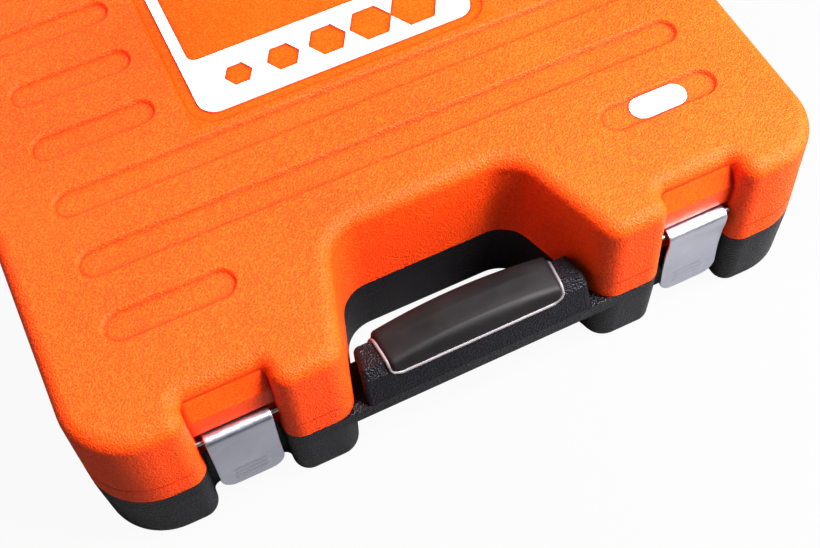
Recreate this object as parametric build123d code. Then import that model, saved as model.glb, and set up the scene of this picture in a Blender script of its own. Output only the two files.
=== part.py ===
from build123d import *
from math import radians, tan
import os

# A two-drive socket set in a hinged, blow-moulded carry case. Millimetres, +Z up, +X to the right
# along the case's front edge, +Y towards the hinge. The origin is the bottom centre of the case.

# Case: driving dimensions
CASE_WIDTH = 400.0
SHELL_DEPTH = 320.0
BASE_HEIGHT = 45.0
LID_HEIGHT = 60.0
CORNER_RADIUS = 34.0
WALL = 3.0
LID_TOP_WALL = 4.5
PARTING_GAP = 0.4
BAND_HEIGHT = 9.0
DRAFT = 1.2
BASE_DRAFT = 2.0
TOP_EDGE_RADIUS = 8.0
BOTTOM_EDGE_RADIUS = 6.0

# Hinge at the back: steel pins through moulded knuckles
KNUCKLE_RADIUS = 4.5
HINGE_OFFSET = 5.5
HINGE_PIN_RADIUS = 2.0
HINGE_X = 115.0
BASE_KNUCKLE = 34.0
LID_KNUCKLE = 18.0
KNUCKLE_GAP = 0.5
WEB_HEIGHT = 9.0
RUNNING_FIT = 0.05
TIGHT_FIT = 0.02

FRONT = -(SHELL_DEPTH + HINGE_OFFSET + KNUCKLE_RADIUS) / 2
SHELL_MID_Y = FRONT + SHELL_DEPTH / 2
BACK = FRONT + SHELL_DEPTH
HINGE_Y = BACK + HINGE_OFFSET
HINGE_Z = BASE_HEIGHT
LID_BOTTOM = BASE_HEIGHT + PARTING_GAP
CASE_TOP = BASE_HEIGHT + LID_HEIGHT

# Handle notch in the front edge
NOTCH_FRONT_HALF = 70.1
NOTCH_BACK_HALF = 49.1
NOTCH_DEPTH = 66.0
NOTCH_MOUTH_RADIUS = 13.0
NOTCH_INNER_RADIUS = 19.0
NOTCH_BACK = FRONT + NOTCH_DEPTH

# Handle bar across the notch, and its soft grip
HANDLE_HALF = 64.0
HANDLE_TAPER = 5.0
HANDLE_DEPTH = 27.0
HANDLE_TOP = 22.0
HANDLE_ROUND = 6.0
GRIP_HALF = 47.0
GRIP_FLARE = 3.5
GRIP_BULGE = 4.0
GRIP_EDGE = 1.2
GRIP_FOOT = 1.5
GRIP_CHAMFER = 3.0
TRIM_WIDTH = 1.6
TRIM_PROUD = 0.9
TRIM_BULGE = 0.5

# Latches
LATCH_X = 126.2
RECESS_WIDTH = 40.4
RECESS_DEPTH = 15.0
RECESS_MOUTH_RADIUS = 10.0
RECESS_INNER_RADIUS = 3.0
LEDGE_ABOVE_PARTING = 27.5
LEDGE_REACH = 4.5
LEDGE_FACE = 13.0
LEDGE_RISE = 25.0
LATCH_WIDTH = 34.0
LATCH_SHEET = 1.5
LATCH_FRONT = 5.3
LATCH_TOP = 25.0
LATCH_BOTTOM = -26.5
LATCH_ROLL = 3.1
LATCH_PIN_RADIUS = 1.3
LATCH_CORNER = 8.0
HOOK_TOP = -13.3
HOOK_DEPTH = 4.0
HOOK_THICKNESS = 3.0
HOOK_WIDTH = 24.0
HOOK_GAP = 0.3

# Lid relief: grooves, label recess and labels
GROOVE_PITCH = 38.86
GROOVE_FIRST = 63.0
GROOVE_WIDTH = 18.0
GROOVE_INNER = 99.0
GROOVE_OUTER = 166.2
GROOVE_DEPTH = 1.8
GROOVE_ROWS = 7
RELIEF_SLOPE = 40.0
RELIEF_EDGE = 1.0
LABEL_ROW = 4
LABEL_WIDTH = 157.4
LABEL_HEIGHT = 115.0
LABEL_BAND = 6.0
LABEL_FIELD = 38.0
LABEL_RADIUS = 10.0
LABEL_THICKNESS = 0.8
LABEL_RECESS = 1.2
LABEL_MARGIN = 7.0
STICKER_LENGTH = 32.0
STICKER_WIDTH = 14.0
STICKER_THICKNESS = 0.5
STEP_LINE_HEIGHT = 12.6
STEP_LINE_DEPTH = 0.7
STEP_LINE_WIDTH = 0.8

# Inside: tray, liner and foam
SEAT_GAP = 0.3
TRAY_TOP = 40.0
TRAY_WALL = 1.6
TRAY_SPLITS = (-58.0, -14.0, 69.5)
TRAY_SECTIONS = ("tray_front", "tray_middle", "tray_centre", "tray_rear")
POCKET_GAP = 0.5
POCKET_CORNER = 1.2
LINER_BOTTOM = 80.0
LINER_WALL = 2.0
FOAM_THICKNESS = 9.0
FOAM_MARGIN = 8.0

# Drives and tools
HALF_DRIVE = 12.7
QUARTER_DRIVE = 6.35
SQUARE_PLAY = 0.15
STEEL_CHAMFER = 0.6
BACK_ROW_Y = 133.0
HALF_SOCKET_Y = 96.0
HALF_RATCHET_Y = 44.0
MIDDLE_ROW_Y = 5.0
QUARTER_ROW_Y = -38.0
FRONT_ROW_Y = -75.0

HALF_SOCKETS = (32, 27, 24, 22, 19, 18, 17, 16, 15, 14)
HALF_SOCKET_SIZE = {"height": 40.0, "drive_diameter": 22.0, "gap": 7.0, "sink": 20.0}
QUARTER_SOCKETS = (6, 7, 8, 9, 10, 11, 12, 13)
QUARTER_SOCKET_SIZE = {"height": 25.0, "drive_diameter": 12.0, "gap": 8.0, "sink": 12.0}

HALF_RATCHET = {
    "x": -164.0, "y": HALF_RATCHET_Y, "square": HALF_DRIVE, "square_length": 15.0,
    "head_radius": 20.0, "head_height": 20.0, "length": 250.0, "neck_radius": 7.0,
    "grip_radius": 15.0, "grip_length": 112.0, "underside": 25.0,
}
QUARTER_RATCHET = {
    "x": -176.0, "y": QUARTER_ROW_Y, "square": QUARTER_DRIVE, "square_length": 8.0,
    "head_radius": 12.0, "head_height": 13.0, "length": 145.0, "neck_radius": 4.5,
    "grip_radius": 10.5, "grip_length": 72.0, "underside": 29.0,
}

# Extension bars: name, left end, row, drive, length, axis height
EXTENSIONS = (
    ("extension_half_long", -182.0, BACK_ROW_Y, HALF_DRIVE, 250.0),
    ("extension_half_short", 80.0, BACK_ROW_Y, HALF_DRIVE, 75.0),
    ("extension_quarter_long", 78.0, MIDDLE_ROW_Y, QUARTER_DRIVE, 100.0),
    ("extension_quarter_short", 140.0, QUARTER_ROW_Y, QUARTER_DRIVE, 50.0),
)
EXTENSION_AXIS_Z = 33.0

TEE_LEFT = -186.0
TEE_LENGTH = 240.0
TEE_RADIUS = 6.0
TEE_AXIS_Z = 34.0
TEE_SLIDER_RADIUS = 11.0
TEE_SLIDER_WIDTH = 24.0
TEE_SQUARE_LENGTH = 14.0
TEE_TRAVEL = 85.0

SPINNER_LEFT = -16.0
SPINNER_GRIP_LENGTH = 92.0
SPINNER_GRIP_RADIUS = 14.0
SPINNER_SHAFT_RADIUS = 3.4
SPINNER_SHAFT_LENGTH = 50.0
SPINNER_AXIS_Z = 34.0

PLUG_SOCKET_X = 104.0
PLUG_SOCKET_LENGTH = 65.0
PLUG_SOCKET_RADIUS = 13.5
PLUG_SOCKET_SIZE = 21.0
PLUG_SOCKET_Z = 33.0

BIT_RAIL_X = -142.0
BIT_RAIL_Y = -92.0
BIT_COUNT = 8
BIT_PITCH = 11.0
BIT_ACROSS_FLATS = 6.35
BIT_LENGTH = 25.0
BIT_RAIL_DEPTH = 14.0
BIT_RAIL_HEIGHT = 16.0
BIT_RAIL_FLOOR = 28.0
ADAPTER_X = 128.0
ADAPTER_LENGTH = 25.0
ADAPTER_RADIUS = 6.0
ADAPTER_Z = 34.0


# Plan outlines -------------------------------------------------------------------------------


def corners_at(sketch, half_x, y):
    """The two mirrored corners of a plan outline at +-half_x and y."""
    return [v for v in sketch.vertices() if abs(abs(v.X) - half_x) < 0.01 and abs(v.Y - y) < 0.01]


def full_plan():
    return Pos(0, SHELL_MID_Y) * RectangleRounded(CASE_WIDTH, SHELL_DEPTH, CORNER_RADIUS)


def notch_plan():
    """Handle notch, from the front edge to its back wall, with square corners."""
    return Polygon(
        (-NOTCH_FRONT_HALF, FRONT),
        (NOTCH_FRONT_HALF, FRONT),
        (NOTCH_BACK_HALF, NOTCH_BACK),
        (-NOTCH_BACK_HALF, NOTCH_BACK),
        align=None,
    )


def notched_plan():
    """A shell's outline with the handle notch, its corners rounded."""
    outline = full_plan() - notch_plan()
    outline = fillet(corners_at(outline, NOTCH_FRONT_HALF, FRONT), NOTCH_MOUTH_RADIUS)
    return fillet(corners_at(outline, NOTCH_BACK_HALF, NOTCH_BACK), NOTCH_INNER_RADIUS)


def cut_latch_recesses(outline):
    """The outline less both latch recesses, with rounded mouths and inner corners."""
    for side in (-1, 1):
        outline -= Pos(side * LATCH_X, FRONT + RECESS_DEPTH / 2) * Rectangle(RECESS_WIDTH, RECESS_DEPTH)
    for half_x in (LATCH_X - RECESS_WIDTH / 2, LATCH_X + RECESS_WIDTH / 2):
        outline = fillet(corners_at(outline, half_x, FRONT), RECESS_MOUTH_RADIUS)
        outline = fillet(corners_at(outline, half_x, FRONT + RECESS_DEPTH), RECESS_INNER_RADIUS)
    return outline


def cavity_plan(inset):
    """The inside of both shells, a given distance in from the outer faces."""
    return offset(cut_latch_recesses(notched_plan()), amount=-inset)


def drafted(outline, height, draft, base_z, down=False):
    """A block of the outline's shape whose walls lean in as they leave base_z."""
    block = extrude(outline, amount=height, taper=draft)
    if down:
        block = mirror(block, about=Plane.XY)
    return Pos(0, 0, base_z) * block


def round_end(block, axis_index, radius):
    """The block with every edge of its top (-1) or bottom (0) face rounded."""
    face = block.faces().sort_by(Axis.Z)[axis_index]
    return fillet(face.outer_wire().edges(), radius)


# Hinge ---------------------------------------------------------------------------------------


def hinge_knuckle(x, width, upward):
    """A knuckle round the hinge axis with the web that joins it to a shell's back wall."""
    barrel = Pos(x, HINGE_Y, HINGE_Z) * Rot(0, 90, 0) * Cylinder(KNUCKLE_RADIUS, width)
    rise = WEB_HEIGHT / 2 if upward else -WEB_HEIGHT / 2
    web_depth = HINGE_OFFSET + WALL
    web = Pos(x, HINGE_Y - web_depth / 2, HINGE_Z + rise) * Box(width, web_depth, WEB_HEIGHT)
    return barrel + web


def hinge_bore(x, width, radius):
    return Pos(x, HINGE_Y, HINGE_Z) * Rot(0, 90, 0) * Cylinder(radius, width)


def base_knuckles():
    return [hinge_knuckle(side * HINGE_X, BASE_KNUCKLE, False) for side in (-1, 1)]


def lid_knuckle_places():
    reach = BASE_KNUCKLE / 2 + KNUCKLE_GAP + LID_KNUCKLE / 2
    return [side * HINGE_X + way * reach for side in (-1, 1) for way in (-1, 1)]


def hinge_pins():
    length = BASE_KNUCKLE + 2 * (KNUCKLE_GAP + LID_KNUCKLE)
    return [hinge_bore(side * HINGE_X, length, HINGE_PIN_RADIUS) for side in (-1, 1)]


# Shells --------------------------------------------------------------------------------------


def lid_ledge():
    """Back wall of the latch recesses: sloped above, upright below, ending in a ledge over each latch."""
    ledge_z = BASE_HEIGHT + LEDGE_ABOVE_PARTING
    back = FRONT + RECESS_DEPTH
    profile = Plane.YZ * Polygon(
        (back - LEDGE_REACH, ledge_z),
        (back + 2, ledge_z),
        (back + 2, ledge_z + LEDGE_RISE),
        (back + LEDGE_RISE * tan(radians(DRAFT)), ledge_z + LEDGE_RISE),
        (back - LEDGE_REACH, ledge_z + LEDGE_FACE),
        align=None,
    )
    ledge = extrude(profile, amount=RECESS_WIDTH / 2 + 1, both=True)
    return [Pos(side * LATCH_X) * ledge for side in (-1, 1)]


def groove(x_centre, y, length):
    cutter = extrude(SlotOverall(length, GROOVE_WIDTH), amount=-GROOVE_DEPTH, taper=RELIEF_SLOPE)
    return Pos(x_centre, y, CASE_TOP) * cutter


def groove_row_y(row):
    return FRONT + GROOVE_FIRST + GROOVE_PITCH * row


def lid_grooves():
    """Long grooves in rows 1, 2 and 6, short pairs in the rest."""
    cutters = []
    for row in range(GROOVE_ROWS):
        y = groove_row_y(row)
        if row in (1, 2, 6):
            cutters.append(groove(0, y, 2 * GROOVE_OUTER))
            continue
        for side in (-1, 1):
            centre = side * (GROOVE_INNER + GROOVE_OUTER) / 2
            cutters.append(groove(centre, y, GROOVE_OUTER - GROOVE_INNER))
    return cutters


def label_recess():
    plan = RectangleRounded(
        LABEL_WIDTH + 2 * LABEL_MARGIN, LABEL_HEIGHT + 2 * LABEL_MARGIN, LABEL_RADIUS + LABEL_MARGIN
    )
    cutter = extrude(plan, amount=-LABEL_RECESS, taper=RELIEF_SLOPE)
    return Pos(0, groove_row_y(LABEL_ROW), CASE_TOP) * cutter


def step_line():
    """Fine line round the lid's outer wall; it fades out where the plan's corners turn in."""
    depth = STEP_LINE_DEPTH + STEP_LINE_HEIGHT * tan(radians(DRAFT))
    ring = full_plan() - offset(full_plan(), amount=-depth)
    return Pos(0, 0, BASE_HEIGHT + STEP_LINE_HEIGHT) * extrude(ring, amount=STEP_LINE_WIDTH)


def latch_pin_axis():
    y = FRONT + LATCH_FRONT + LATCH_ROLL + 0.8
    z = BASE_HEIGHT + LATCH_TOP - LATCH_ROLL
    return y, z


def latch_pin(side, radius):
    y, z = latch_pin_axis()
    length = RECESS_WIDTH + 2 * (WALL - 0.8)
    return Pos(side * LATCH_X, y, z) * Rot(0, 90, 0) * Cylinder(radius, length)


def lid_shell():
    plan = cut_latch_recesses(notched_plan())
    block = drafted(plan, LID_HEIGHT - PARTING_GAP, DRAFT, LID_BOTTOM)
    block = round_end(block, -1, TOP_EDGE_RADIUS)
    cavity_height = LID_HEIGHT - PARTING_GAP - LID_TOP_WALL
    cavity = drafted(cavity_plan(WALL), cavity_height, DRAFT, LID_BOTTOM)
    block = block - cavity + lid_ledge()
    block = block - lid_grooves() - label_recess()
    top = block.faces().filter_by(Plane.XY).sort_by(Axis.Z)[-1]
    block = fillet([e for wire in top.inner_wires() for e in wire.edges()], RELIEF_EDGE)
    block -= step_line()
    for x in lid_knuckle_places():
        block += hinge_knuckle(x, LID_KNUCKLE, True) - cavity
    for x in lid_knuckle_places():
        block -= hinge_bore(x, LID_KNUCKLE + 1, HINGE_PIN_RADIUS + RUNNING_FIT)
    for side in (-1, 1):
        block -= latch_pin(side, LATCH_PIN_RADIUS + TIGHT_FIT)
    return block


def handle_section():
    """The bar's cross-section, looking along X."""
    points = [
        (FRONT + 1.0, BASE_HEIGHT - BAND_HEIGHT),
        (FRONT, BASE_HEIGHT),
        (FRONT + 4.5, BASE_HEIGHT + HANDLE_TOP - 5),
        (FRONT + 9.0, BASE_HEIGHT + HANDLE_TOP),
        (FRONT + HANDLE_DEPTH - 4, BASE_HEIGHT + HANDLE_TOP - 1),
        (FRONT + HANDLE_DEPTH, BASE_HEIGHT + HANDLE_TOP - 9),
        (FRONT + HANDLE_DEPTH, BASE_HEIGHT - BAND_HEIGHT),
    ]
    return Plane.YZ * Polygon(*points, align=None)


def handle_bar():
    """The bar, its ends slanted to clear the notch's walls and rounded above the parting plane."""
    back_half = HANDLE_HALF - HANDLE_TAPER
    plan = Polygon(
        (-HANDLE_HALF, FRONT),
        (HANDLE_HALF, FRONT),
        (back_half, FRONT + HANDLE_DEPTH),
        (-back_half, FRONT + HANDLE_DEPTH),
        align=None,
    )
    bar = extrude(handle_section(), amount=HANDLE_HALF, both=True) & extrude(plan, amount=CASE_TOP)
    rims = [
        e for e in bar.edges()
        if abs(e.center().X) > back_half - 1 and e.center().Z > BASE_HEIGHT + 1
    ]
    return fillet(rims, HANDLE_ROUND / 2)


def handle_hole():
    """The opening behind the handle bar, through the base's top band."""
    clear = FRONT + HANDLE_DEPTH
    behind = Pos(0, clear + NOTCH_DEPTH / 2) * Rectangle(CASE_WIDTH, NOTCH_DEPTH)
    notch = full_plan() - notched_plan()
    return notch & behind


def latch_keepers():
    """Ribs on the base's recess walls, over the latches' hooks."""
    top = BASE_HEIGHT + HOOK_TOP + HOOK_GAP
    keeper = Box(HOOK_WIDTH + 4, 8.0, 4.0, align=(Align.CENTER, Align.MAX, Align.MIN))
    return [Pos(side * LATCH_X, FRONT + RECESS_DEPTH + 1.5, top) * keeper for side in (-1, 1)]


def base_shell():
    band_plan = cut_latch_recesses(full_plan()) - handle_hole()
    band = Pos(0, 0, BASE_HEIGHT - BAND_HEIGHT) * extrude(band_plan, amount=BAND_HEIGHT)
    plan = cut_latch_recesses(notched_plan())
    body = drafted(plan, BASE_HEIGHT - BAND_HEIGHT, BASE_DRAFT, BASE_HEIGHT - BAND_HEIGHT, down=True)
    body = round_end(body, 0, BOTTOM_EDGE_RADIUS)
    cavity = drafted(cavity_plan(WALL), BASE_HEIGHT - WALL, BASE_DRAFT, BASE_HEIGHT, down=True)
    shell = (band + body + handle_bar()) - cavity
    shell += latch_keepers()
    for knuckle in base_knuckles():
        shell += knuckle - cavity
    for side in (-1, 1):
        shell -= hinge_bore(side * HINGE_X, BASE_KNUCKLE + 1, HINGE_PIN_RADIUS + TIGHT_FIT)
    return shell


def grip_plan(grow):
    """The soft grip's outline seen from above, flared towards the back."""
    front = FRONT + 4.0 - grow
    back = FRONT + HANDLE_DEPTH + 3 * GRIP_BULGE
    plan = Polygon(
        (-GRIP_HALF - grow, front),
        (GRIP_HALF + grow, front),
        (GRIP_HALF + GRIP_FLARE + grow, back),
        (-GRIP_HALF - GRIP_FLARE - grow, back),
        align=None,
    )
    return fillet(corners_at(plan, GRIP_HALF + grow, front), 8.0 + grow)


def crowned_side(low, edge, crown, plane):
    """A slab with one face arched along X: edge at the ends, crown in the middle."""
    half = GRIP_HALF + 2 * GRIP_FLARE
    arch = ThreePointArc((-half, edge), (0, crown), (half, edge))
    sides = Polyline((half, edge), (half, low), (-half, low), (-half, edge))
    return extrude(plane * make_face([arch, sides]), amount=200, both=True)


def grip_arches(proud, bulge):
    """Space over and behind the bar, arched along its length, down to just above the parting plane."""
    top = BASE_HEIGHT + HANDLE_TOP + proud
    back = FRONT + HANDLE_DEPTH + proud
    over = crowned_side(BASE_HEIGHT + GRIP_FOOT, top, top + bulge, Plane.XZ)
    behind = crowned_side(FRONT - 5, back, back + bulge, Plane.XY)
    return over & behind


def handle_core():
    """The bar where the grip sits, without its shaped ends."""
    return extrude(handle_section(), amount=HANDLE_HALF, both=True)


def handle_grip():
    """Soft saddle over the bar's top and back, with a crowned top."""
    block = grip_arches(GRIP_EDGE, GRIP_BULGE) & extrude(grip_plan(0), amount=CASE_TOP)
    rim_z = BASE_HEIGHT + HANDLE_TOP
    rims = [e for e in block.edges() if e.center().Z > rim_z and e.length > GRIP_HALF]
    return chamfer(rims, GRIP_CHAMFER) - handle_core()


def grip_trim():
    """Thin raised line round the grip's front and sides."""
    section = offset(handle_section(), amount=TRIM_PROUD + TRIM_BULGE)
    block = extrude(section, amount=GRIP_HALF + 2 * GRIP_FLARE, both=True)
    block = block & grip_arches(TRIM_PROUD, TRIM_BULGE) & extrude(grip_plan(TRIM_WIDTH), amount=CASE_TOP)
    block = block - extrude(grip_plan(0), amount=CASE_TOP) - handle_core()
    return block.solids().sort_by(SortBy.VOLUME)[-1]


# Latches -------------------------------------------------------------------------------------


def latch(side):
    """A bent plate hinged at its rolled top, with a hook low on its back."""
    pin_y, pin_z = latch_pin_axis()
    top = BASE_HEIGHT + LATCH_TOP
    bottom = BASE_HEIGHT + LATCH_BOTTOM
    front = FRONT + LATCH_FRONT
    outside = Spline((front + 0.3, bottom), (front + 1.5, BASE_HEIGHT - 4), (front, pin_z),
                     tangents=((0.15, 1), (0, 1)))
    bend = Polyline((front, pin_z), (front, top - 0.2), (pin_y, top), (pin_y, pin_z - LATCH_ROLL),
                    (front + LATCH_SHEET + 0.2, pin_z - LATCH_ROLL))
    inside = Spline((front + LATCH_SHEET + 0.2, pin_z - LATCH_ROLL),
                    (front + 1.5 + LATCH_SHEET, BASE_HEIGHT - 4), (front + 0.3 + LATCH_SHEET, bottom),
                    tangents=((0, -1), (-0.15, -1)))
    foot = Line((front + 0.3 + LATCH_SHEET, bottom), (front + 0.3, bottom))
    profile = Plane.YZ * make_face([outside, bend, inside, foot])
    plate = extrude(profile, amount=LATCH_WIDTH / 2, both=True)
    plate += Pos(0, pin_y, pin_z) * Rot(0, 90, 0) * Cylinder(LATCH_ROLL, LATCH_WIDTH)
    bend_edges = [e for e in plate.edges() if e.center().Z > top - 0.5 and e.center().Y < front + 0.5
                  and e.geom_type == GeomType.LINE and e.length > LATCH_WIDTH - 1]
    plate = fillet(bend_edges, 2.4)
    face = Rectangle(LATCH_WIDTH, LATCH_TOP - LATCH_BOTTOM + 0.5, align=(Align.CENTER, Align.MIN))
    low_corners = face.vertices().group_by(Axis.Y)[0]
    face = fillet(low_corners, LATCH_CORNER)
    plate &= Pos(0, 0, bottom) * Rot(90, 0, 0) * extrude(face, amount=300, both=True)
    hook_y = front + 1.2 + LATCH_SHEET
    hook = Box(HOOK_WIDTH, HOOK_DEPTH, HOOK_THICKNESS, align=(Align.CENTER, Align.MIN, Align.MAX))
    plate += Pos(0, hook_y - 0.6, BASE_HEIGHT + HOOK_TOP) * hook
    bore = Cylinder(LATCH_PIN_RADIUS + RUNNING_FIT, LATCH_WIDTH + 1)
    plate -= Pos(0, pin_y, pin_z) * Rot(0, 90, 0) * bore
    return Pos(side * LATCH_X) * plate


# Labels --------------------------------------------------------------------------------------


def label_plate():
    """Blank printed frame: a band round an open window, over a field of plain hexagons."""
    plate = RectangleRounded(LABEL_WIDTH, LABEL_HEIGHT, LABEL_RADIUS)
    window_height = LABEL_HEIGHT - LABEL_FIELD - LABEL_BAND
    window_y = (LABEL_FIELD - LABEL_BAND) / 2
    window = RectangleRounded(LABEL_WIDTH - 2 * LABEL_BAND, window_height, LABEL_RADIUS / 2)
    plate -= Pos(0, window_y) * window
    for step in range(5):
        radius = 8.0 + 1.5 * step
        x = -52.0 + 25.5 * step
        plate -= Pos(x, -(LABEL_HEIGHT - LABEL_FIELD) / 2) * RegularPolygon(radius, 6)
    z = CASE_TOP - LABEL_RECESS
    return Pos(0, groove_row_y(LABEL_ROW), z) * extrude(plate, amount=LABEL_THICKNESS)


def size_sticker():
    sticker = extrude(SlotOverall(STICKER_LENGTH, STICKER_WIDTH), amount=STICKER_THICKNESS)
    return Pos((GROOVE_INNER + GROOVE_OUTER) / 2, groove_row_y(0), CASE_TOP - GROOVE_DEPTH) * sticker


# Inner skins ---------------------------------------------------------------------------------


def lid_liner():
    """Inner skin of the lid: a panel over the tools with a skirt down to the rim."""
    inset = WALL + SEAT_GAP
    rim_z = LID_BOTTOM + 1.0
    outer = drafted(cavity_plan(inset), LINER_BOTTOM + LINER_WALL - rim_z, DRAFT, rim_z)
    inner = drafted(cavity_plan(inset + LINER_WALL), LINER_BOTTOM - rim_z, DRAFT, rim_z)
    return outer - inner


def lid_foam():
    inset = WALL + SEAT_GAP + LINER_WALL + FOAM_MARGIN
    return Pos(0, 0, LINER_BOTTOM - FOAM_THICKNESS) * extrude(cavity_plan(inset), amount=FOAM_THICKNESS)


# Tools ---------------------------------------------------------------------------------------


def square_bar(size, length):
    """A male drive square along +Z from the origin, with a bevelled tip."""
    bar = extrude(RectangleRounded(size, size, size * 0.08), amount=length)
    tip = bar.faces().sort_by(Axis.Z)[-1]
    return chamfer(tip.edges(), size * 0.07)


def square_hole(size, length):
    return extrude(Rectangle(size + SQUARE_PLAY, size + SQUARE_PLAY), amount=length)


def turned(points):
    """A solid turned about Z from its outline, given as radius and height pairs."""
    outline = Plane.XZ * Polygon((0, points[0][1]), *points, (0, points[-1][1]), align=None)
    return revolve(outline, axis=Axis.Z)


def socket_diameter(size, drive):
    """Outside diameter at the hexagon end."""
    least = 22.0 if drive == HALF_DRIVE else 12.0
    return max(least, size * 1.25 + (3.2 if drive == HALF_DRIVE else 1.8))


def socket_height(size, spec):
    return spec["height"] + (8.0 if size > 25 else 0.0)


def wrench_socket(size, drive, spec):
    """An upright socket: square drive hole below, hexagon mouth above."""
    height = socket_height(size, spec)
    low = spec["drive_diameter"] / 2
    high = socket_diameter(size, drive) / 2
    edge = STEEL_CHAMFER
    shoulder = height * 0.42
    rise = max(1.0, 0.7 * (high - low))
    body = turned([
        (low - edge, 0), (low, edge), (low, shoulder * 0.45), (low - 0.5, shoulder * 0.5),
        (low - 0.5, shoulder * 0.62), (low, shoulder * 0.67), (low, shoulder),
        (high, shoulder + rise), (high, height - 1.2), (high - 1.0, height),
    ])
    mouth = extrude(RegularPolygon(size / 2, 6, major_radius=False), amount=height)
    mouth = Pos(0, 0, max(height * 0.5, shoulder + rise + 1.0)) * mouth
    upright = (Align.CENTER, Align.CENTER, Align.MIN)
    lead = Pos(0, 0, height - 1.0) * Cone(size * 0.5, size * 0.5 + 2.0, 2.0, align=upright)
    return body - mouth - square_hole(drive, height) - lead


def socket_row(sizes, drive, spec, y):
    """Centre of each socket of a row that is centred on the case."""
    widths = [max(spec["drive_diameter"], socket_diameter(size, drive)) for size in sizes]
    total = sum(widths) + spec["gap"] * (len(sizes) - 1)
    left = -total / 2
    places = []
    for size, width in zip(sizes, widths):
        places.append((size, left + width / 2, y, width))
        left += width + spec["gap"]
    return places


def extension_bar(drive, length):
    """An extension bar along +X from the origin: female end first, male square last."""
    shaft = drive * 0.52
    female = drive * 0.86
    female_length = drive * 2.2
    square_length = drive * 1.15
    body = turned([
        (female - 1, 0), (female, 1), (female, female_length), (shaft, female_length + 5),
        (shaft, length - square_length - 4), (drive * 0.72, length - square_length - 2),
        (drive * 0.72, length - square_length),
    ])
    body += Pos(0, 0, length - square_length) * square_bar(drive, square_length)
    body -= square_hole(drive, drive * 1.3)
    return Rot(0, 90, 0) * body


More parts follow.
